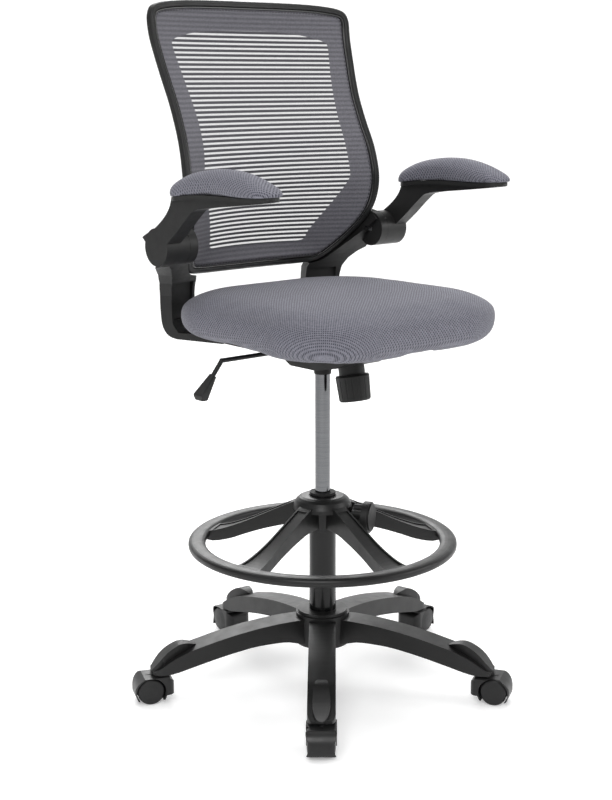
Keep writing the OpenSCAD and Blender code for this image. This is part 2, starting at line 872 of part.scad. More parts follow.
module arm(side) {
    color(black_plastic)
    on_side(side)
    difference() {
        union() {
            translate([0, pivot_y, pivot_z])
                rod_x(boss_d, boss_out + body_gap, arm_out - boss_out - body_gap);
            intersection() {
                translate([arm_x, 0, 0])
                    cross_plate(concat(smooth(arm_upper, 3), smooth(arm_deck, 3), smooth(arm_lower, 3)),
                                arm_w);
                translate([arm_x, 0, 780]) linear_extrude(220) {
                    translate([-arm_w / 2, pad_front + arm_w / 2]) square([arm_w, 330]);
                    translate([0, pad_front + arm_w / 2 + 2]) circle(d = arm_w);
                }
            }
            // The deck under the pad
            intersection() {
                translate([pad_x, 0, 0])
                    cross_plate(concat(smooth(arm_deck, 3), deck_back(-7)), pad_w);
                translate([0, 0, 900]) linear_extrude(80) pad_outline(4);
            }
        }
        translate([0, pivot_y, pivot_z]) rod_x(pin_d + run_gap, boss_out - 20, arm_out - 8 - boss_out + 20);
    }
}

// The pad from above: straight sides and round ends
module pad_outline(inset) {
    half = pad_w / 2 - inset;
    translate([pad_x, 0]) {
        translate([-half, pad_front + pad_w / 2]) square([2 * half, pad_rear - pad_front - pad_w]);
        translate([0, pad_rear - pad_w / 2]) circle(r = half);
        translate([0, pad_front + pad_w / 2]) circle(r = half);
    }
}

module arm_pad(side) {
    color(grey_fabric)
    on_side(side)
    intersection() {
        translate([pad_x, 0, 0])
            cross_plate(concat(smooth(pad_crown, 3), deck_back(pad_gap)), pad_w);
        translate([0, 0, 900]) linear_extrude(120) pad_outline(0);
    }
}

// ---------- back ----------

// Half of the frame's outer outline, from the middle of the bottom up to the middle of the top
back_outline = [[0, 767], [70, 767], [120, 767.5], [150, 770], [168, 781], [189, 809], [207, 839],
                [219.5, 869], [226.5, 900], [229.5, 938], [227, 988], [223, 1035], [222.3, 1078],
                [225, 1112], [229.5, 1155], [233, 1200], [231.5, 1230], [215, 1247], [160, 1254.5],
                [80, 1256.8], [0, 1257]];
// Depth of the frame's edge at each height
back_depth = [[760, 194], [780, 177], [810, 150], [840, 126.5], [870, 109], [900, 100.5], [930, 98.5],
              [960, 102], [1000, 112], [1050, 132.5], [1110, 158], [1170, 180], [1200, 188.5], [1230, 192],
              [1260, 194]];
frame_t = 16;
rim_w = 15;
back_half_w = 233;

half_curve = smooth(back_outline, 4);
half_count = len(half_curve);

// The whole outline, round once
outline_loop = concat(
    [for (k = [0 : half_count - 1]) half_curve[k]],
    [for (k = [half_count - 2 : -1 : 1]) [-half_curve[k][0], half_curve[k][1]]]);
outline_count = len(outline_loop);

// Depth of the frame's middle surface at a point
function back_y(x, z) = curve_at(z, back_depth) + back_bow * (1 - pow(min(1, abs(x) / back_half_w), 2));

// The space that the back needs: its outline, from its rear face forward
envelope_gap = 0.6;
outline_side = [for (p = back_outline) if (p[1] > 768 && p[1] < 1240) [p[1], p[0]]];

module back_envelope() {
    heights = [for (z = [762 : 12 : 906]) z];
    intersection() {
        translate([0, 300, 0]) rotate([90, 0, 0]) linear_extrude(400)
            polygon([for (p = outline_loop) p * (1 + 2 * envelope_gap / back_half_w) - [0, 6]]);
        cross_plate(concat(
            [for (z = heights)
                [back_y(curve_at(z, outline_side) - rim_w - 8, z) + frame_t / 2 + envelope_gap, z]],
            [[-60, 906], [-60, 762]]), 600);
    }
}

// The outline's inward normal at point k
function inward(k) =
    let (a = outline_loop[(k + outline_count - 1) % outline_count], b = outline_loop[(k + 1) % outline_count],
         d = b - a)
    [-d[1], d[0]] / norm(d);

// A rim that follows the outline: its section's middle lies depth in from the outline
module outline_rim(depth, w, t, forward, sides) {
    points = [for (k = [0 : outline_count - 1], j = [0 : sides - 1])
        let (s = rounded(j * 360 / sides, w / 2, t / 2, 0.6),
             q = outline_loop[k] + (depth + s[0]) * inward(k))
        [q[0], back_y(q[0], q[1]) + s[1] - forward, q[1]]];
    polyhedron(points = points,
               faces = [for (f = loop_faces(outline_count, sides)) [f[2], f[1], f[0]]]);
}

module back_frame() {
    color(black_plastic) outline_rim(rim_w / 2, rim_w, frame_t, 0, 12);
}

module back_bead() {
    color(black_gloss) outline_rim(rim_w + 2.6, 5, 5, 2, 8);
}

mesh_t = 2;
mesh_inset = 21;

mesh_middle_z = 1010;
mesh_loops = 6;

// The sides of the frame come forward more than its top and bottom, so the stretched mesh
// hangs back between them: by mesh_dish at each height, running out at the half width mesh_edge
mesh_dish = [[788, 0], [800, 26], [815, 42], [845, 54], [872, 56], [900, 49], [930, 36], [985, 17], [1050, 8],
             [1190, 10], [1236, 0]];
mesh_edge = [[788, 150], [809, 168], [839, 186], [869, 198.5], [900, 205.5], [938, 208.5], [988, 206],
             [1078, 201.3], [1155, 208.5], [1200, 212], [1236, 205]];

function mesh_y(x, z) =
    back_y(x, z) - 2
    + max(0, curve_at(z, mesh_dish)) * max(0, 1 - pow(x / curve_at(z, mesh_edge), 2));

module back_mesh() {
    n = outline_count;
    m = n * mesh_loops + 1;
    points = [for (face = [-1, 1])
        each concat(
            [for (i = [mesh_loops : -1 : 1], k = [0 : n - 1])
                let (rim = outline_loop[k] + mesh_inset * inward(k),
                     x = rim[0] * i / mesh_loops,
                     z = mesh_middle_z + (rim[1] - mesh_middle_z) * i / mesh_loops)
                [x, mesh_y(x, z) + face * mesh_t / 2, z]],
            [[0, mesh_y(0, mesh_middle_z) + face * mesh_t / 2, mesh_middle_z]])];
    color(grey_fabric)
    polyhedron(points = points, faces = concat(
        [for (i = [0 : mesh_loops - 2], k = [0 : n - 1])
            let (a = i * n + k, b = i * n + (k + 1) % n)
            for (f = [[a, a + n, b + n], [a, b + n, b]]) f],
        [for (i = [0 : mesh_loops - 2], k = [0 : n - 1])
            let (a = m + i * n + k, b = m + i * n + (k + 1) % n)
            for (f = [[a, b + n, a + n], [a, b, b + n]]) f],
        [for (k = [0 : n - 1])
            let (a = (mesh_loops - 1) * n + k, b = (mesh_loops - 1) * n + (k + 1) % n)
            for (f = [[a, m - 1, b], [m + a, m + b, 2 * m - 1]]) f],
        [for (k = [0 : n - 1])
            let (b = (k + 1) % n)
            for (f = [[k, b, m + b], [k, m + b, m + k]]) f]));
}

// ---------- assembly ----------

base_star();
column_tube();
guide_bush();
thrust_race();
piston_rod();
rod_clip();
thrust_balls();
bump_stop();
gas_cylinder();
rod_boot();
mechanism_housing();
release_button();
lever_bush();
lever_pin();
lever_rod();
lever_grip();
tension_knob();
tension_bolt();
tension_nut();
tension_spring();
seat_plate();
tilt_pin();
seat_board();
seat_cushion();
seat_bolts();
side_bracket("right");  // side_bracket_right
side_bracket("left");  // side_bracket_left
arm_pivots();
back_frame();
back_mesh();
back_bead();
arm("right");  // arm_right
arm("left");  // arm_left
arm_pad("right");  // arm_pad_right
arm_pad("left");  // arm_pad_left
foot_ring();
ring_sleeve();
ring_knob();
ring_stud();
for (i = [1 : 5]) {
    caster_hood(i);
    caster_pins(i);
    wheel(i, "left");
    wheel(i, "right");
}
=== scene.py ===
"""The looks of a drafting chair: a cloth seat and arm pads, a stretched mesh back, and the finishes.

Lengths are metres in the chair's own frame: +Z up, the sitter faces -Y. Every new piece is a
surface worked out with numpy over a grid of two parameters, or a section carried along a path.
"""

import math

import bpy
import numpy as np
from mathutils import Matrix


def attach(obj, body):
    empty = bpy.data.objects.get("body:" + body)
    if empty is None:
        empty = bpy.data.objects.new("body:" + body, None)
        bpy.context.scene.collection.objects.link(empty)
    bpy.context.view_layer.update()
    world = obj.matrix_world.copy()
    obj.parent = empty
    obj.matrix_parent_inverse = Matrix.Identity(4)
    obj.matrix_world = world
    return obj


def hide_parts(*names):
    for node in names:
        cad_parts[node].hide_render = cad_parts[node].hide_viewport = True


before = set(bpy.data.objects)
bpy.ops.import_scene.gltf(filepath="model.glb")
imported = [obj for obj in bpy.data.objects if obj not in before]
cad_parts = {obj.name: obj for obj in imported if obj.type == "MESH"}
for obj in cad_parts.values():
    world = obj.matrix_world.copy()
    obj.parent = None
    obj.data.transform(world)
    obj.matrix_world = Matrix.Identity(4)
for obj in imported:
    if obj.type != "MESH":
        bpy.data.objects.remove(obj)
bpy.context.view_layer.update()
MM = 0.001


# ---------- curves and surfaces ----------


def through(points, count):
    """A curve through the points: each coordinate is a Catmull-Rom cubic of the parameter,
    which runs evenly from point to point; count samples from the first point to the last."""
    p = np.asarray(points, float)
    p = np.vstack([2 * p[0] - p[1], p, 2 * p[-1] - p[-2]])
    t = np.linspace(0, len(p) - 3, count)
    i = np.minimum(t.astype(int), len(p) - 4)
    f = (t - i)[:, None]
    a, b, c, d = p[i], p[i + 1], p[i + 2], p[i + 3]
    bend = 2 * a - 5 * b + 4 * c - d
    twist = 3 * b - a - 3 * c + d
    return 0.5 * (2 * b + (c - a) * f + bend * f**2 + twist * f**3)


def table(at, rows):
    """The value at each of the given places, read from rows of (place, value) made smooth."""
    fine = through(rows, 40 * len(rows))
    return np.interp(at, fine[:, 0], fine[:, 1])


def evenly(points, count):
    """The same line with count points at equal distances along it."""
    steps = np.linalg.norm(np.diff(points, axis=0), axis=1)
    along = np.concatenate([[0], np.cumsum(steps)])
    want = np.linspace(0, along[-1], count)
    return np.stack([np.interp(want, along, points[:, k]) for k in range(points.shape[1])], axis=1)


def rounded_box(angle, half_width, half_depth, square):
    """A superellipse: each coordinate is its half size times the cosine or sine of the angle,
    raised to the power square with its sign kept, so that a power under 1 fills the corners."""
    c, s = np.cos(angle), np.sin(angle)
    return (
        half_width * np.sign(c) * np.abs(c) ** square,
        half_depth * np.sign(s) * np.abs(s) ** square,
    )


def grid_faces(rows, columns, wrap_rows=False, wrap_columns=False, flip=False):
    """Four-sided faces between neighbours of a grid stored row by row."""
    r = np.arange(rows if wrap_rows else rows - 1)[:, None]
    c = np.arange(columns if wrap_columns else columns - 1)[None, :]
    below, beside = (r + 1) % rows, (c + 1) % columns
    quads = np.stack(
        [r * columns + c, r * columns + beside, below * columns + beside, below * columns + c], axis=-1
    ).reshape(-1, 4)
    return quads[:, ::-1] if flip else quads


def piece(name, points, faces, material):
    """A smooth shaded mesh object at the origin, from an array of points and lists of faces."""
    mesh = bpy.data.meshes.new(name)
    lists = [f.tolist() if hasattr(f, "tolist") else f for f in faces]
    mesh.from_pydata(np.asarray(points, float).reshape(-1, 3).tolist(), [], sum(lists, []))
    mesh.polygons.foreach_set("use_smooth", np.full(len(mesh.polygons), True))
    mesh.materials.append(material)
    mesh.update()
    made = bpy.data.objects.new(name, mesh)
    bpy.context.scene.collection.objects.link(made)
    return made


def corners(made):
    """The mesh's points as an array."""
    flat = np.zeros(len(made.data.vertices) * 3)
    made.data.vertices.foreach_get("co", flat)
    return flat.reshape(-1, 3)


def place_corners(made, points):
    """Puts an array of points back in the mesh."""
    made.data.vertices.foreach_set("co", points.reshape(-1))
    made.data.update()


# ---------- finishes ----------

# Knitted holes of the seat cloth. The real ones, 2.5 mm apart, are too fine to show
HOLE_PITCH = 4.6 * MM
# Bands of the back mesh, and the threads that cross between them
BAND_PITCH = 8.3 * MM
THREAD_PITCH = 2.2 * MM
# The row of stitches: its distance from the bead, half a thread's width, and from stitch to stitch
STITCH_IN = 3 * MM
STITCH_HALF_W = 0.9 * MM
STITCH_PITCH = 7 * MM


def colour(hex_value):
    """An sRGB hex value as linear red, green, blue and 1."""
    parts = [int(hex_value[k : k + 2], 16) / 255 for k in (1, 3, 5)]
    return tuple(p / 12.92 if p <= 0.04045 else ((p + 0.055) / 1.055) ** 2.4 for p in parts) + (1.0,)


def add(tree, kind, links=None, stops=None, **settings):
    """Adds a shader node. links gives its inputs by name or number, as a socket or a value;
    stops are a colour ramp's places and colours; settings are the node's own."""
    made = tree.nodes.new("ShaderNode" + kind)
    for name, value in settings.items():
        setattr(made, name, value)
    for name, value in (links or {}).items():
        if isinstance(value, bpy.types.NodeSocket):
            tree.links.new(value, made.inputs[name])
        else:
            made.inputs[name].default_value = value
    if stops:
        elements = made.color_ramp.elements
        for k, (at, shade) in enumerate(stops):
            stop = elements[k] if k < len(elements) else elements.new(at)
            stop.position = at
            stop.color = shade
    return made


def start(name):
    """A new material, its empty node tree, and Object coordinates to work from."""
    made = bpy.data.materials.new(name)
    made.use_nodes = True
    made.node_tree.nodes.clear()
    return made, made.node_tree, add(made.node_tree, "TexCoord").outputs["Object"]


def end(made, tree, shader):
    """Joins the shader to the material's output."""
    add(tree, "OutputMaterial", {"Surface": shader})
    return made


def moulded(name, dark, light, gloss, grain_mm, relief_mm, coat=0.0):
    """Injection moulded plastic: cloudy colour between dark and light, roughness between the two
    numbers of gloss, and a fine spark-eroded grain pressed in by the mould."""
    made, tree, here = start(name)
    cloud = add(tree, "TexNoise", {"Vector": here, "Scale": 14.0, "Detail": 4.0})
    shade = add(
        tree, "ValToRGB",
        {"Fac": cloud.outputs[0]},
        stops=[(0.3, colour(dark)), (0.72, colour(light))],
    )
    rub = add(tree, "TexNoise", {"Vector": here, "Scale": 42.0, "Detail": 6.0, "Roughness": 0.6})
    rough = add(
        tree, "MapRange",
        {"Value": rub.outputs[0], "From Min": 0.3, "From Max": 0.7,
         "To Min": gloss[0], "To Max": gloss[1]},
    )
    pits = add(tree, "TexNoise", {"Vector": here, "Scale": 1000 / grain_mm, "Detail": 2.0})
    bump = add(tree, "Bump", {"Height": pits.outputs[0], "Strength": 0.5, "Distance": relief_mm * MM})
    shader = add(
        tree, "BsdfPrincipled",
        {"Base Color": shade.outputs[0], "Roughness": rough.outputs[0], "IOR": 1.49,
         "Specular IOR Level": 0.36, "Coat Weight": coat, "Coat Roughness": 0.12,
         "Normal": bump.outputs[0]},
    )
    return end(made, tree, shader.outputs[0])


def metal(name, dark, light, gloss, lines, bump_mm):
    """Bare or plated metal: colour and roughness vary in fine streaks, lines per metre along
    X, Y and Z, as the grinding or rolling left them."""
    made, tree, here = start(name)
    streak = add(tree, "Mapping", {"Vector": here, "Scale": lines})
    marks = add(tree, "TexNoise", {"Vector": streak.outputs[0], "Scale": 1.0, "Detail": 5.0})
    shade = add(
        tree, "ValToRGB",
        {"Fac": marks.outputs[0]},
        stops=[(0.32, colour(dark)), (0.68, colour(light))],
    )
    rough = add(
        tree, "MapRange",
        {"Value": marks.outputs[0], "From Min": 0.3, "From Max": 0.7,
         "To Min": gloss[0], "To Max": gloss[1]},
    )
    bump = add(tree, "Bump", {"Height": marks.outputs[0], "Strength": 0.25, "Distance": bump_mm * MM})
    shader = add(
        tree, "BsdfPrincipled",
        {"Base Color": shade.outputs[0], "Metallic": 1.0, "Roughness": rough.outputs[0],
         "Normal": bump.outputs[0]},
    )
    return end(made, tree, shader.outputs[0])


def painted(name, dark, light, gloss, peel_mm, coat):
    """Baked paint on steel: a near even colour, a clear skin over it, and the slow waves that
    the paint dries with."""
    made, tree, here = start(name)
    cloud = add(tree, "TexNoise", {"Vector": here, "Scale": 22.0, "Detail": 3.0})
    shade = add(
        tree, "ValToRGB",
        {"Fac": cloud.outputs[0]},
        stops=[(0.3, colour(dark)), (0.7, colour(light))],
    )
    wave = add(tree, "TexNoise", {"Vector": here, "Scale": 1000 / peel_mm, "Detail": 1.0})
    rough = add(
        tree, "MapRange",
        {"Value": cloud.outputs[0], "From Min": 0.3, "From Max": 0.7,
         "To Min": gloss[0], "To Max": gloss[1]},
    )
    bump = add(tree, "Bump", {"Height": wave.outputs[0], "Strength": 0.3, "Distance": 0.05 * MM})
    shader = add(
        tree, "BsdfPrincipled",
        {"Base Color": shade.outputs[0], "Roughness": rough.outputs[0], "IOR": 1.5,
         "Specular IOR Level": 0.25, "Coat Weight": coat, "Coat Roughness": 0.08,
         "Normal": bump.outputs[0]},
    )
    return end(made, tree, shader.outputs[0])


def spacer_fabric(name):
    """Knitted polyester spacer cloth over foam: rows of small round holes between grey yarns.
    The attribute cloth is the place on the cloth in metres, laid over the piece from its top and
    down its sides. The holes are where the sine waves along its two diagonals add up high."""
    made, tree, here = start(name)
    laid = add(tree, "Attribute", attribute_name="cloth")
    turned = add(
        tree, "Mapping",
        {"Vector": laid.outputs["Vector"], "Rotation": (0.0, 0.0, math.radians(45))},
    )
    waves = add(
        tree, "VectorMath",
        {0: turned.outputs[0], 1: (2 * math.pi / HOLE_PITCH,) * 3},
        operation="MULTIPLY",
    )
    sines = add(tree, "VectorMath", {0: waves.outputs[0]}, operation="SINE")
    total = add(tree, "VectorMath", {0: sines.outputs[0], 1: (1.0, 1.0, 0.0)}, operation="DOT_PRODUCT")
    holes = add(
        tree, "MapRange",
        {"Value": total.outputs["Value"], "From Min": -0.1, "From Max": 1.3},
        interpolation_type="SMOOTHSTEP",
    )
    fuzz = add(tree, "TexNoise", {"Vector": here, "Scale": 260.0, "Detail": 4.0})
    wear = add(tree, "TexNoise", {"Vector": here, "Scale": 9.0, "Detail": 3.0})
    yarn = add(
        tree, "ValToRGB",
        {"Fac": fuzz.outputs[0]},
        stops=[(0.3, colour("#66666f")), (0.7, colour("#7c7c86"))],
    )
    hole = add(
        tree, "ValToRGB",
        {"Fac": wear.outputs[0]},
        stops=[(0.3, colour("#32323b")), (0.7, colour("#3e3e47"))],
    )
    cloth = add(
        tree, "Mix",
        {0: holes.outputs[0], 6: yarn.outputs[0], 7: hole.outputs[0]},
        data_type="RGBA",
    )
    bump = add(
        tree, "Bump",
        {"Height": holes.outputs[0], "Strength": 0.6, "Distance": 0.6 * MM},
        invert=True,
    )
    shader = add(
        tree, "BsdfPrincipled",
        {"Base Color": cloth.outputs[2], "Roughness": 0.85, "Sheen Weight": 0.12,
         "Sheen Roughness": 0.5, "Specular IOR Level": 0.2, "Normal": bump.outputs[0]},
    )
    return end(made, tree, shader.outputs[0])


def striped_mesh(name):
    """Warp-knitted polyester mesh: dark yarn bands up the back. In the open part, where the
    attribute window is positive, a fine net that the eye looks through lies between the bands;
    around it the same bands show only as a shade in closed grey cloth. The attribute edge is
    the distance in metres from the rim, and along the distance round it, for the row of
    stitches."""
    made, tree, here = start(name)
    axes = add(tree, "SeparateXYZ", {"Vector": here})
    band = add(
        tree, "Math", {0: axes.outputs["Z"], 1: 2 * math.pi / BAND_PITCH}, operation="MULTIPLY"
    )
    wave = add(tree, "Math", {0: band.outputs[0]}, operation="SINE")
    inside = add(tree, "Attribute", attribute_name="window")
    open_part = add(
        tree, "MapRange",
        {"Value": inside.outputs["Fac"], "From Min": -0.6 * MM, "From Max": 0.6 * MM},
    )
    gap = add(
        tree, "MapRange",
        {"Value": wave.outputs[0], "From Min": 0.0, "From Max": 0.45},
    )
    hole = add(tree, "Math", {0: gap.outputs[0], 1: open_part.outputs[0]}, operation="MULTIPLY")
    # the threads that cross a gap
    across = add(
        tree, "Math", {0: axes.outputs["X"], 1: 2 * math.pi / THREAD_PITCH}, operation="MULTIPLY"
    )
    thread = add(tree, "Math", {0: across.outputs[0]}, operation="SINE")
    clear = add(
        tree, "MapRange",
        {"Value": thread.outputs[0], "From Min": -1.0, "From Max": 1.0,
         "To Min": 0.5, "To Max": 0.84},
    )
    see_through = add(
        tree, "Math", {0: hole.outputs[0], 1: clear.outputs[0]}, operation="MULTIPLY"
    )
    fuzz = add(tree, "TexNoise", {"Vector": here, "Scale": 380.0, "Detail": 4.0})
    closed = add(
        tree, "ValToRGB",
        {"Fac": fuzz.outputs[0]},
        stops=[(0.3, colour("#59585e")), (0.7, colour("#6c6b72"))],
    )
    dark = add(
        tree, "ValToRGB",
        {"Fac": fuzz.outputs[0]},
        stops=[(0.3, colour("#35343a")), (0.7, colour("#454449"))],
    )
    bands = add(
        tree, "MapRange", {"Value": wave.outputs[0], "From Min": -0.8, "From Max": 0.8}
    )
    shaded = add(tree, "MapRange", {"Value": bands.outputs[0], "To Min": 0.55, "To Max": 0.0})
    border = add(
        tree, "Mix",
        {0: shaded.outputs[0], 6: closed.outputs[0], 7: dark.outputs[0]},
        data_type="RGBA",
    )
    cloth = add(
        tree, "Mix",
        {0: open_part.outputs[0], 6: border.outputs[2], 7: dark.outputs[0]},
        data_type="RGBA",
    )
    # a row of stitches just inside the rim
    edge = add(tree, "Attribute", attribute_name="edge")
    along = add(tree, "Attribute", attribute_name="along")
    off = add(tree, "Math", {0: edge.outputs["Fac"], 1: STITCH_IN}, operation="SUBTRACT")
    near = add(tree, "Math", {0: off.outputs[0]}, operation="ABSOLUTE")
    line = add(tree, "Math", {0: near.outputs[0], 1: STITCH_HALF_W}, operation="LESS_THAN")
    turn = add(
        tree, "Math", {0: along.outputs["Fac"], 1: 2 * math.pi / STITCH_PITCH}, operation="MULTIPLY"
    )
    dash = add(tree, "Math", {0: turn.outputs[0]}, operation="SINE")
    stitch = add(tree, "Math", {0: dash.outputs[0], 1: 0.0}, operation="GREATER_THAN")
    sewn = add(tree, "Math", {0: line.outputs[0], 1: stitch.outputs[0]}, operation="MULTIPLY")
    finished = add(
        tree, "Mix",
        {0: sewn.outputs[0], 6: cloth.outputs[2], 7: colour("#26262a")},
        data_type="RGBA",
    )
    bump = add(
        tree, "Bump",
        {"Height": bands.outputs[0], "Strength": 0.5, "Distance": 0.5 * MM},
        invert=True,
    )
    yarn = add(
        tree, "BsdfPrincipled",
        {"Base Color": finished.outputs[2], "Roughness": 0.8, "Sheen Weight": 0.1,
         "Sheen Roughness": 0.5, "Normal": bump.outputs[0]},
    )
    solid = add(tree, "Math", {0: 1.0, 1: see_through.outputs[0]}, operation="SUBTRACT")
    tree.links.new(solid.outputs[0], yarn.inputs["Alpha"])
    return end(made, tree, yarn.outputs[0])


# Glass-filled nylon, injection moulded: near black, satin, with a fine even grain
BASE = moulded("glass_filled_nylon_moulded", "#101010", "#181818", (0.34, 0.46), 1.6, 0.05)
# Plain nylon, injection moulded: the same black with a smoother skin that picks up soft light
CASTER = moulded("nylon_moulded", "#111112", "#191919", (0.3, 0.44), 1.3, 0.04)
# Polypropylene, injection moulded: dull charcoal, the grain spreads every highlight
PLASTIC = moulded("polypropylene_moulded", "#151515", "#1e1e1e", (0.42, 0.56), 1.8, 0.06)
# Polypropylene from a polished mould: the frame's bead shows a thin bright line
SHINY = moulded("polypropylene_polished", "#0e0e0f", "#161617", (0.16, 0.26), 2.5, 0.02, coat=0.4)
# Steel tube in gloss enamel: deep black with long clear reflections
ENAMEL = painted("steel_gloss_enamel", "#080808", "#0d0d0e", (0.14, 0.22), 9.0, 0.06)
# Pressed steel, powder coated: black with a slight orange peel
POWDER = painted("steel_powder_coated", "#141415", "#1d1d1e", (0.38, 0.5), 1.6, 0.0)
# Turned and plated steel pins and bolts: bright, ringed by the lathe
BRIGHT = metal("steel_zinc_plated", "#9c9da0", "#c9cacd", (0.2, 0.34), (60, 60, 900), 0.02)
# Hard chrome on a ground rod: mirror bright, faint rings from the grinding
CHROME = metal("steel_hard_chromed", "#606163", "#747577", (0.1, 0.16), (14, 14, 900), 0.002)
# Mild steel as rolled and oiled: dark grey, half dull
DARK = metal("steel_rolled_oiled", "#3a3a3d", "#56565a", (0.38, 0.52), (90, 30, 90), 0.05)
# Rubber, compression moulded: black and dull
RUBBER = moulded("rubber_moulded", "#121212", "#1b1b1b", (0.6, 0.75), 1.2, 0.05)
SPACER = spacer_fabric("polyester_spacer_fabric")
MESH = striped_mesh("polyester_mesh_knitted")

NODE_FINISHES = {
    "base_star": BASE,
    "column_tube": ENAMEL,
    "guide_bush": RUBBER,
    "thrust_race": BRIGHT,
    "thrust_balls": BRIGHT,
    "bump_stop": RUBBER,
    "piston_rod": BRIGHT,
    "rod_clip": BRIGHT,
    "gas_cylinder": CHROME,
    "rod_boot": RUBBER,
    "release_button": BRIGHT,
    "mechanism_housing": PLASTIC,
    "tension_spring": DARK,
    "tension_bolt": BRIGHT,
    "tension_nut": DARK,
    "tension_knob": PLASTIC,
    "lever_bush": DARK,
    "lever_pin": BRIGHT,
    "lever_rod": POWDER,
    "lever_grip": PLASTIC,
    "seat_plate": DARK,
    "tilt_pin": BRIGHT,
    "seat_board": PLASTIC,
    "seat_bolts": DARK,
    "side_bracket": PLASTIC,
    "arm_pivots": BRIGHT,
    "arm": PLASTIC,
    "ring_sleeve": BASE,
    "foot_ring": BASE,
    "ring_knob": PLASTIC,
    "ring_stud": BRIGHT,
    "caster_hood": CASTER,
    "caster_pins": BRIGHT,
    "wheel": CASTER,
}

for name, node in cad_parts.items():
    starts = [k for k in NODE_FINISHES if name == k or name.startswith(k + "_")]
    if starts:
        finish = NODE_FINISHES[max(starts, key=len)]
        for held in node.material_slots:
            held.material = finish


# ---------- soft pieces ----------


SWELL_PRESSURE = 4.0
SWELL_STEPS = 20


def swell(made, pressure, cap, voxel):
    """Remeshes the closed skin, blows it up from inside as cloth, and then keeps each point
    within cap of where it started, so that the pad is full but its outline stays."""
    remesh = made.modifiers.new("remesh", "REMESH")
    remesh.mode = "VOXEL"
    remesh.voxel_size = voxel
    remesh.use_smooth_shade = True
    bake(made)
    before = corners(made)
    cloth = made.modifiers.new("cloth", "CLOTH")
    cloth.settings.use_pressure = True
    cloth.settings.uniform_pressure_force = pressure
    cloth.settings.quality = 5
    cloth.settings.mass = 0.3
    cloth.settings.tension_stiffness = 15
    cloth.settings.bending_stiffness = 0.5
    cloth.settings.effector_weights.gravity = 0
    cloth.point_cache.frame_start = 1
    cloth.point_cache.frame_end = SWELL_STEPS
    for step in range(1, SWELL_STEPS + 1):
        bpy.context.scene.frame_set(step)
    bake(made)
    bpy.context.scene.frame_set(1)
    moved = corners(made) - before
    length = np.linalg.norm(moved, axis=1, keepdims=True)
    place_corners(made, before + moved * np.minimum(1, cap / np.maximum(length, 1e-9)))


def bake(made):
    """Replaces the mesh by what its modifiers make of it."""
    graph = bpy.context.evaluated_depsgraph_get()
    result = bpy.data.meshes.new_from_object(made.evaluated_get(graph))
    old = made.data
    made.modifiers.clear()
    made.data = result
    bpy.data.meshes.remove(old)


def even_out(made, turns):
    """Draws each point towards its neighbours' middle, to take the voxels' steps away."""
    soft = made.modifiers.new("even", "SMOOTH")
    soft.factor = 0.5
    soft.iterations = turns
    bake(made)


def finish_soft(made):
    """One subdivision, smooth shaded."""
    fine = made.modifiers.new("fine", "SUBSURF")
    fine.levels = 1
    fine.render_levels = 1
    bake(made)
    made.data.polygons.foreach_set("use_smooth", np.full(len(made.data.polygons), True))


SEAT_HALF_W = 245 * MM
SEAT_HALF_L = 234 * MM
SEAT_CORNER = 136 * MM
SEAT_Y = -38 * MM
SEAT_REAR_INSET = 6 * MM
SEAT_WIDEST_Z = 709 * MM
SEAT_TOP = 756.5 * MM
SEAT_BOTTOM = 666 * MM
SEAT_FRONT_SAG = 9 * MM
BOARD_INSET = 35 * MM
BOARD_MIDDLE_Z = 676 * MM


def seat_inset(co):
    """How far inside the seat's outline each point is, seen from above, and the way out: past
    the corner centres' rectangle the distance is the corner radius less that to the rectangle."""
    flat = co[:, :2] - [0, SEAT_Y]
    box = np.array([SEAT_HALF_W - SEAT_CORNER, SEAT_HALF_L - SEAT_CORNER])
    past = np.abs(flat) - box
    out = np.linalg.norm(np.maximum(past, 0), axis=1) + np.minimum(past.max(1), 0)
    way = np.sign(flat) * np.maximum(past, 0)
    return SEAT_CORNER - out, way / np.maximum(np.linalg.norm(way, axis=1, keepdims=True), 0.02)


def lay_cloth(made, places):
    """Keeps each point's place on the cloth, in metres, for the knitted pattern."""
    held = made.data.attributes.new("cloth", "FLOAT_VECTOR", "POINT")
    held.data.foreach_set("vector", np.column_stack([places, np.zeros(len(places))]).ravel())


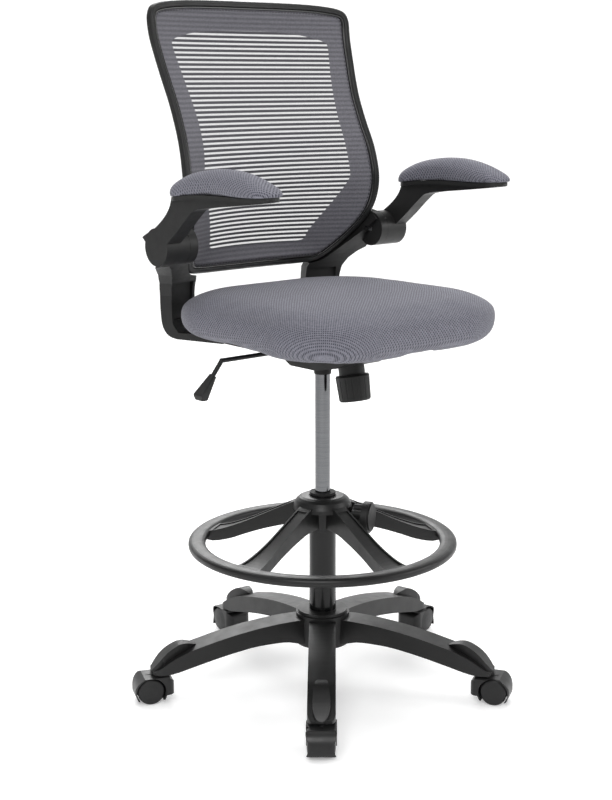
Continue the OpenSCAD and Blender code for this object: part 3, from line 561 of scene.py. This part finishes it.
def seat_cushion():
    """The seat: a closed shell over two parameters. Round the seat runs the outline, a rounded
    rectangle whose corner centres stay put while the radius shrinks by the inset; from the
    bottom's middle over the edge to the crown runs a section, quarter superellipses in inset and
    height."""
    per_corner = 22
    per_side = 14
    centres, turns = [], []
    quarter = np.linspace(0, math.pi / 2, per_corner)
    gap = np.zeros(per_side)
    spots = [
        (SEAT_HALF_W - SEAT_REAR_INSET - SEAT_CORNER, SEAT_HALF_L - SEAT_CORNER),
        (SEAT_CORNER - SEAT_HALF_W + SEAT_REAR_INSET, SEAT_HALF_L - SEAT_CORNER),
        (SEAT_CORNER - SEAT_HALF_W, SEAT_CORNER - SEAT_HALF_L),
        (SEAT_HALF_W - SEAT_CORNER, SEAT_CORNER - SEAT_HALF_L),
    ]
    for k, spot in enumerate(spots):
        angle = k * math.pi / 2 + quarter
        centres.append(np.tile(spot, (per_corner, 1)))
        turns.append(angle)
        part = np.linspace(0, 1, per_side + 2)[1:-1, None]
        centres.append(np.array(spot) * (1 - part) + np.array(spots[(k + 1) % 4]) * part)
        turns.append(gap + angle[-1])
    centre = np.vstack(centres)
    turn = np.concatenate(turns)
    way = np.stack([np.cos(turn), np.sin(turn)], axis=1)
    rim = centre + SEAT_CORNER * way
    # the section: share of the way from the rim to the middle, and height
    up = np.linspace(0, 1, 26)
    top_share = 1 - np.cos(up * math.pi / 2) ** 0.9
    top_z = SEAT_WIDEST_Z + (SEAT_TOP - SEAT_WIDEST_Z) * np.sin(up * math.pi / 2) ** 0.62
    under = np.linspace(1, 0, 18)[:-1]
    under_share = 1 - np.cos(under * math.pi / 2) ** 0.1
    under_z = SEAT_WIDEST_Z - (SEAT_WIDEST_Z - SEAT_BOTTOM) * np.sin(under * math.pi / 2) ** 0.8
    share = np.concatenate([under_share, top_share])[:, None, None]
    height = np.concatenate([under_z, top_z])
    flat = rim[None] * (1 - share)
    level = np.broadcast_to(height[:, None, None], flat.shape[:2] + (1,))
    points = np.concatenate([flat + np.array([0, SEAT_Y]), level], axis=2)
    rows, columns = points.shape[:2]
    faces = grid_faces(rows, columns, wrap_columns=True)
    caps = [list(range(columns))[::-1], [(rows - 1) * columns + c for c in range(columns)]]
    made = piece("seat_cushion_cloth", points, [faces, caps], SPACER)
    swell(made, SWELL_PRESSURE, 7 * MM, 6 * MM)
    even_out(made, 14)
    co = corners(made)
    # the swollen shell is brought back to the real cushion's outline and crown
    low, high = co.min(0), co.max(0)
    co[:, 0] *= 2 * SEAT_HALF_W / (high[0] - low[0])
    middle_y = (high[1] + low[1]) / 2
    co[:, 1] = SEAT_Y + (co[:, 1] - middle_y) * 2 * SEAT_HALF_L / (high[1] - low[1])
    above = co[:, 2] > SEAT_WIDEST_Z
    rise = (co[:, 2] - SEAT_WIDEST_Z) / (high[2] - SEAT_WIDEST_Z)
    fall = (SEAT_WIDEST_Z - co[:, 2]) / (SEAT_WIDEST_Z - low[2])
    co[:, 2] = np.where(
        above,
        SEAT_WIDEST_Z + rise * (SEAT_TOP - SEAT_WIDEST_Z),
        SEAT_WIDEST_Z - fall * (SEAT_WIDEST_Z - SEAT_BOTTOM),
    )
    # the lower edge hangs a little lower at the front
    forward = np.clip((-co[:, 1] - 20 * MM) / (200 * MM), 0, 1)
    below = (SEAT_WIDEST_Z - co[:, 2]) / (SEAT_WIDEST_Z - SEAT_BOTTOM)
    co[:, 2] -= SEAT_FRONT_SAG * np.clip(forward * below, 0, 1)
    # the foam wraps round the seat board, whose underside shows in the middle
    deep, _ = seat_inset(co)
    co[:, 2] = np.where((deep > BOARD_INSET) & (co[:, 2] < BOARD_MIDDLE_Z), BOARD_MIDDLE_Z, co[:, 2])
    place_corners(made, co)
    finish_soft(made)
    co = corners(made)
    deep, way = seat_inset(co)
    lay_cloth(made, co[:, :2] + way * (SEAT_TOP - co[:, 2])[:, None])
    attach(made, "seat")
    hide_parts("seat_cushion")
    return made


PAD_X = 269 * MM
PAD_HALF_W = 28.5 * MM
PAD_FRONT = -192 * MM
PAD_REAR = 70 * MM
DECK = [(-192, 936.2), (-138, 934), (-86, 933.6), (-24, 932.5), (26, 928.5), (62, 924), (72, 921.5)]
CROWN = [(-192, 937), (-190, 942), (-172, 952), (-138, 965), (-96, 973), (-46, 973.5), (10, 965),
         (50, 949), (68, 934), (70, 924.4)]


def arm_pad(name, side, body):
    """An arm pad: sections across the arm at steps along it. Each section's lower edge lies on
    the arm's deck, its top is a superellipse as high as the crown line there, and the half width
    shrinks to nothing at both ends as a circle's chord does."""
    steps, around = 64, 36
    travel = (1 - np.cos(np.linspace(0, math.pi, steps))) / 2
    y = PAD_FRONT + (PAD_REAR - PAD_FRONT) * np.clip(travel, 0.004, 0.996)
    deck = table(y / MM, DECK) * MM
    crown = np.maximum(table(y / MM, CROWN) * MM, deck + 0.6 * MM)
    reach = np.minimum(np.minimum(y - PAD_FRONT, PAD_REAR - y) / PAD_HALF_W, 1)
    half = PAD_HALF_W * np.sqrt(1 - (1 - reach) ** 2)
    angle = np.arange(around) * 2 * math.pi / around
    across, rise = rounded_box(angle, 1.0, 1.0, 0.72)
    x = side * PAD_X + half[:, None] * across[None]
    z = deck[:, None] + np.where(rise > 0, rise, 0.03 * rise)[None] * (crown - deck)[:, None]
    points = np.stack([x, np.broadcast_to(y[:, None], x.shape), z], axis=2)
    faces = grid_faces(steps, around, wrap_columns=True, flip=True)
    caps = [list(range(around)), [(steps - 1) * around + c for c in range(around)][::-1]]
    made = piece(name, points, [faces, caps], SPACER)
    swell(made, SWELL_PRESSURE, 6 * MM, 4 * MM)
    even_out(made, 4)
    co = corners(made)
    low, high = co.min(0), co.max(0)
    middle = (low + high) / 2
    co[:, 0] = side * PAD_X + (co[:, 0] - middle[0]) * 2 * PAD_HALF_W / (high[0] - low[0])
    stretch = (PAD_REAR - PAD_FRONT) / (high[1] - low[1])
    co[:, 1] = (PAD_FRONT + PAD_REAR) / 2 + (co[:, 1] - middle[1]) * stretch
    floor = table(co[:, 1] / MM, DECK) * MM + 0.3 * MM
    ceiling = table(co[:, 1] / MM, CROWN) * MM
    co[:, 2] = np.clip(co[:, 2], floor, np.maximum(ceiling + 1.5 * MM, floor))
    place_corners(made, co)
    finish_soft(made)
    co = corners(made)
    off = co[:, 0] - side * PAD_X
    drop = table(co[:, 1] / MM, CROWN) * MM - co[:, 2]
    unrolled = co[:, 0] + np.clip(off / (0.6 * PAD_HALF_W), -1, 1) * drop
    lay_cloth(made, np.column_stack([unrolled, co[:, 1]]))
    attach(made, body)
    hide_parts(name.replace("_cloth", ""))
    return made


# ---------- the back ----------

OUTLINE = [(0, 767), (70, 767), (120, 767.5), (150, 770), (168, 781), (189, 809), (207, 839),
           (219.5, 869), (226.5, 900), (229.5, 938), (227, 988), (223, 1035), (222.3, 1078),
           (225, 1112), (229.5, 1155), (233, 1200), (231.5, 1230), (215, 1247), (160, 1254.5),
           (80, 1256.8), (0, 1257)]
DEPTH = [(760, 194), (780, 177), (810, 150), (840, 126.5), (870, 109), (900, 100.5), (930, 98.5),
         (960, 102), (1000, 112), (1050, 132.5), (1110, 158), (1170, 180), (1200, 188.5),
         (1230, 192), (1260, 194)]
MESH_DISH = [(788, 0), (800, 26), (815, 42), (845, 54), (872, 56), (900, 49), (930, 36), (985, 17),
             (1050, 8), (1190, 10), (1236, 0)]
MESH_EDGE = [(788, 150), (809, 168), (839, 186), (869, 198.5), (900, 205.5), (938, 208.5),
             (988, 206), (1078, 201.3), (1155, 208.5), (1200, 212), (1236, 205)]
BACK_BOW = 22
BACK_HALF_W = 233
# half of the see-through part's outline, from the middle of its top down to the middle of its bottom
WINDOW = [(0, 1204), (60, 1203.5), (120, 1199.5), (160, 1192), (176, 1187), (183, 1180), (181, 1160),
          (174, 1120), (168, 1075), (166, 1040), (168, 1000), (172, 960), (174, 938), (166, 920),
          (150, 892), (132, 860), (118, 832), (110, 815), (60, 812), (0, 811)]


def back_depth(x, z):
    """How far behind the chair's middle the frame lies, in millimetres: the side's depth at that
    height, and a bow across that is full in the middle and nothing at the sides."""
    return table(z, DEPTH) + BACK_BOW * (1 - np.minimum(1, np.abs(x) / BACK_HALF_W) ** 2)


def mesh_depth(x, z):
    """The stretched mesh's depth: the frame's, and a hollow where the mesh hangs straight between
    the top and bottom while the sides come forward."""
    hollow = np.maximum(0, table(z, MESH_DISH)) * np.maximum(0, 1 - (x / table(z, MESH_EDGE)) ** 2)
    return back_depth(x, z) - 2 + hollow


def outline(count):
    """The frame's outline in X and Z, once round from the bottom's middle, evenly spaced."""
    half = through(OUTLINE, 400)
    whole = np.vstack([half, half[-2::-1] * [-1, 1]])
    return evenly(whole, count + 1)[:-1]


def inward(line):
    """The direction into a closed line at each point: its tangent turned a quarter to the left."""
    tangent = np.roll(line, -1, axis=0) - np.roll(line, 1, axis=0)
    tangent /= np.linalg.norm(tangent, axis=1, keepdims=True)
    return np.stack([-tangent[:, 1], tangent[:, 0]], axis=1)


def rim(name, node, section_in, section_back, material, slot):
    """A section carried round the frame's outline. section_in is each of its points' distance
    into the outline, and section_back its distance behind the frame's middle surface."""
    count = 420
    line = outline(count)
    into = inward(line)
    flat = line[:, None] + section_in[None, :, None] * into[:, None]
    y = back_depth(flat[..., 0], flat[..., 1]) + section_back[None]
    points = np.stack([flat[..., 0], y, flat[..., 1]], axis=2) * MM
    faces = grid_faces(count, len(section_in), wrap_rows=True, wrap_columns=True)
    made = piece(name, points, [faces], material)
    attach(made, "seat")
    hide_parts(node)
    return made


def back_rim():
    """The frame: a rounded box 11 by 16 mm with a shallow groove rolled along its front."""
    angle = np.arange(36) * 2 * math.pi / 36
    wide, deep = rounded_box(angle, 5.6, 8.0, 0.55)
    groove = np.where(deep < -6, 1.4 * np.exp(-(((wide - 1.8) / 1.2) ** 2)), 0)
    return rim("back_frame_rim", "back_frame", 5.8 + wide, deep + groove, PLASTIC, "black_plastic")


def back_bead_strip():
    """The bead that holds the mesh in the frame: a rounded strip 4 mm across."""
    angle = np.arange(16) * 2 * math.pi / 16
    wide, deep = rounded_box(angle, 2.1, 2.6, 0.75)
    return rim("back_bead_strip", "back_bead", 13.1 + wide, deep - 3.4, SHINY, "black_plastic")


def distance_inside(x, z):
    """Distance in metres to the see-through part's outline, positive inside it: the nearest of
    the outline's many short sides, and a count of the sides crossed on the way out."""
    half = through(WINDOW, 160)
    loop = np.vstack([half, half[-2:0:-1] * [-1, 1]])
    a, b = loop, np.roll(loop, -1, axis=0)
    p = np.stack([x.ravel(), z.ravel()], axis=1)[:, None]
    side = b - a
    part = np.clip(((p - a) * side).sum(-1) / np.maximum((side**2).sum(-1), 1e-9), 0, 1)
    near = np.linalg.norm(p - a - part[..., None] * side, axis=-1).min(1)
    crosses = (a[:, 1] > p[..., 1]) != (b[:, 1] > p[..., 1])
    height = np.where(side[:, 1] == 0, 1e-9, side[:, 1])
    hit = p[..., 0] < side[:, 0] * (p[..., 1] - a[:, 1]) / height + a[:, 0]
    within = (crosses & hit).sum(1) % 2 == 1
    return np.where(within, near, -near) * MM


def back_mesh_cloth():
    """The stretched mesh: rings from the bead to the middle. A ring is the rim's line drawn in
    towards the mesh's middle by its share, and lies on the mesh's depth."""
    count, rings = 360, 90
    line = outline(count)
    rim_line = line + 14.6 * inward(line)
    middle = np.array([0.0, 1010.0])
    share = np.linspace(1, 0.006, rings)
    flat = middle + (rim_line - middle)[None] * share[:, None, None]
    y = mesh_depth(flat[..., 0], flat[..., 1])
    points = np.stack([flat[..., 0], y, flat[..., 1]], axis=2) * MM
    tip = np.array([[0.0, mesh_depth(np.array([0.0]), np.array([1010.0]))[0], 1010.0]]) * MM
    faces = grid_faces(rings, count, wrap_columns=True)
    last = (rings - 1) * count
    fan = [[last + c, last + (c + 1) % count, rings * count] for c in range(count)]
    made = piece("back_mesh_cloth", np.vstack([points.reshape(-1, 3), tip]), [faces, fan], MESH)
    step = np.linalg.norm(rim_line - np.roll(rim_line, 1, axis=0), axis=1)
    round_rim = np.tile(np.cumsum(step), (rings, 1)) * MM
    from_rim = np.linalg.norm(rim_line[None] - flat, axis=2) * MM
    for label, values in (
        ("window", distance_inside(flat[..., 0], flat[..., 1])),
        ("edge", from_rim.ravel()),
        ("along", round_rim.ravel()),
    ):
        held = made.data.attributes.new(label, "FLOAT", "POINT")
        held.data.foreach_set("value", np.append(values, values[-1]))
    area = surface_area(made)
    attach(made, "seat")
    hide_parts("back_mesh")
    return made


def surface_area(made):
    """The sum of the faces' areas in square metres."""
    areas = np.zeros(len(made.data.polygons))
    made.data.polygons.foreach_get("area", areas)
    return float(areas.sum())


seat_cushion()
arm_pad("arm_pad_right_cloth", -1, "arm_right")
arm_pad("arm_pad_left_cloth", 1, "arm_left")
back_rim()
back_bead_strip()
back_mesh_cloth()


# ---------- floor, light and camera ----------

# The camera's turn about the chair, in degrees; 0 looks along +Y
CAMERA_TURN = -41.6304


def backdrop():
    """A pale floor that turns up into a wall behind the chair: a straight line, a quarter circle
    and a straight line, carried sideways, in the direction the camera looks."""
    radius, near, far, high, half = 2.0, -5.0, 3.2, 5.0, 9.0
    turn = np.linspace(0, math.pi / 2, 24)
    along = np.concatenate([[near], far + radius * np.sin(turn), [far + radius]])
    up = np.concatenate([[0.0], radius * (1 - np.cos(turn)), [high]])
    view = math.radians(CAMERA_TURN)
    ahead = np.array([-math.sin(view), math.cos(view)])
    aside = np.array([math.cos(view), math.sin(view)])
    spread = np.array([-half, half])
    flat = along[:, None, None] * ahead + spread[None, :, None] * aside
    level = np.broadcast_to(up[:, None, None], flat.shape[:2] + (1,))
    points = np.concatenate([flat, level], axis=2)
    # Matt white paper on a roll: bright and even, with a faint cloudiness
    paper, tree, here = start("paper_matt_white")
    fibre = add(tree, "TexNoise", {"Vector": here, "Scale": 3.0, "Detail": 4.0})
    shade = add(
        tree, "ValToRGB",
        {"Fac": fibre.outputs[0]},
        stops=[(0.2, colour("#f4f4f4")), (0.8, colour("#f7f7f7"))],
    )
    matt = add(
        tree, "BsdfPrincipled",
        {"Base Color": shade.outputs[0], "Roughness": 0.95, "Emission Color": colour("#ffffff"),
         "Emission Strength": 0.3},
    )
    end(paper, tree, matt.outputs[0])
    piece("floor", points, [grid_faces(len(along), 2, flip=True)], paper)


def area_light(name, place, target, size, power):
    """A square soft light that shines from place towards target."""
    lamp = bpy.data.lights.new(name, "AREA")
    lamp.shape = "RECTANGLE"
    lamp.size, lamp.size_y = size
    lamp.energy = power
    held = bpy.data.objects.new(name, lamp)
    aim = np.array(target, float) - np.array(place, float)
    held.location = place
    held.rotation_euler = (
        math.atan2(math.hypot(aim[0], aim[1]), -aim[2]),
        0,
        math.atan2(-aim[0], aim[1]),
    )
    bpy.context.scene.collection.objects.link(held)


def camera():
    """The view: a long lens at chest height, looking a little down at the chair's right front."""
    held = bpy.data.cameras.new("camera")
    held.sensor_width = 36
    held.sensor_height = 36
    held.lens = 67.907
    held.shift_x = -0.0208
    held.clip_end = 60
    seen = bpy.data.objects.new("camera", held)
    seen.location = (-1.7939, -2.0185, 1.124)
    seen.rotation_euler = (math.pi / 2 - 0.2117, 0, math.radians(CAMERA_TURN))
    bpy.context.scene.collection.objects.link(seen)
    bpy.context.scene.camera = seen


backdrop()
area_light("key", (-2.6, -2.2, 2.9), (0, 0, 0.6), (1.8, 1.8), 75)
area_light("fill", (2.6, -2.4, 1.9), (0, 0, 0.6), (2.0, 2.0), 40)
area_light("top", (0.2, 0.6, 3.4), (0, 0, 0.5), (2.2, 2.2), 55)
area_light("rear", (1.6, 2.6, 2.2), (0, 0, 0.8), (1.6, 1.6), 45)

# The studio's walls: brighter and darker panels by turns, which gloss and metal reflect; where
# the camera sees past the paper they are plain white
world = bpy.data.worlds.new("studio")
world.use_nodes = True
walls = world.node_tree
walls.nodes.clear()
ways = add(walls, "SeparateXYZ", {"Vector": add(walls, "TexCoord").outputs["Generated"]})
bearing = add(walls, "Math", {0: ways.outputs["Y"], 1: ways.outputs["X"]}, operation="ARCTAN2")
turns = add(walls, "Math", {0: bearing.outputs[0], 1: 5.0}, operation="MULTIPLY")
panels = add(walls, "Math", {0: turns.outputs[0]}, operation="SINE")
level = add(
    walls, "MapRange",
    {"Value": panels.outputs[0], "From Min": -0.6, "From Max": 0.6, "To Min": 0.12, "To Max": 0.85},
)
sky = add(walls, "Background", {"Color": colour("#ffffff"), "Strength": level.outputs[0]})
plain = add(walls, "Background", {"Color": colour("#ffffff"), "Strength": 0.95})
path = add(walls, "LightPath")
seen = add(
    walls, "MixShader",
    {0: path.outputs["Is Camera Ray"], 1: sky.outputs[0], 2: plain.outputs[0]},
)
add(walls, "OutputWorld", {"Surface": seen.outputs[0]})
bpy.context.scene.world = world
bpy.context.scene.view_settings.view_transform = "Standard"
camera()
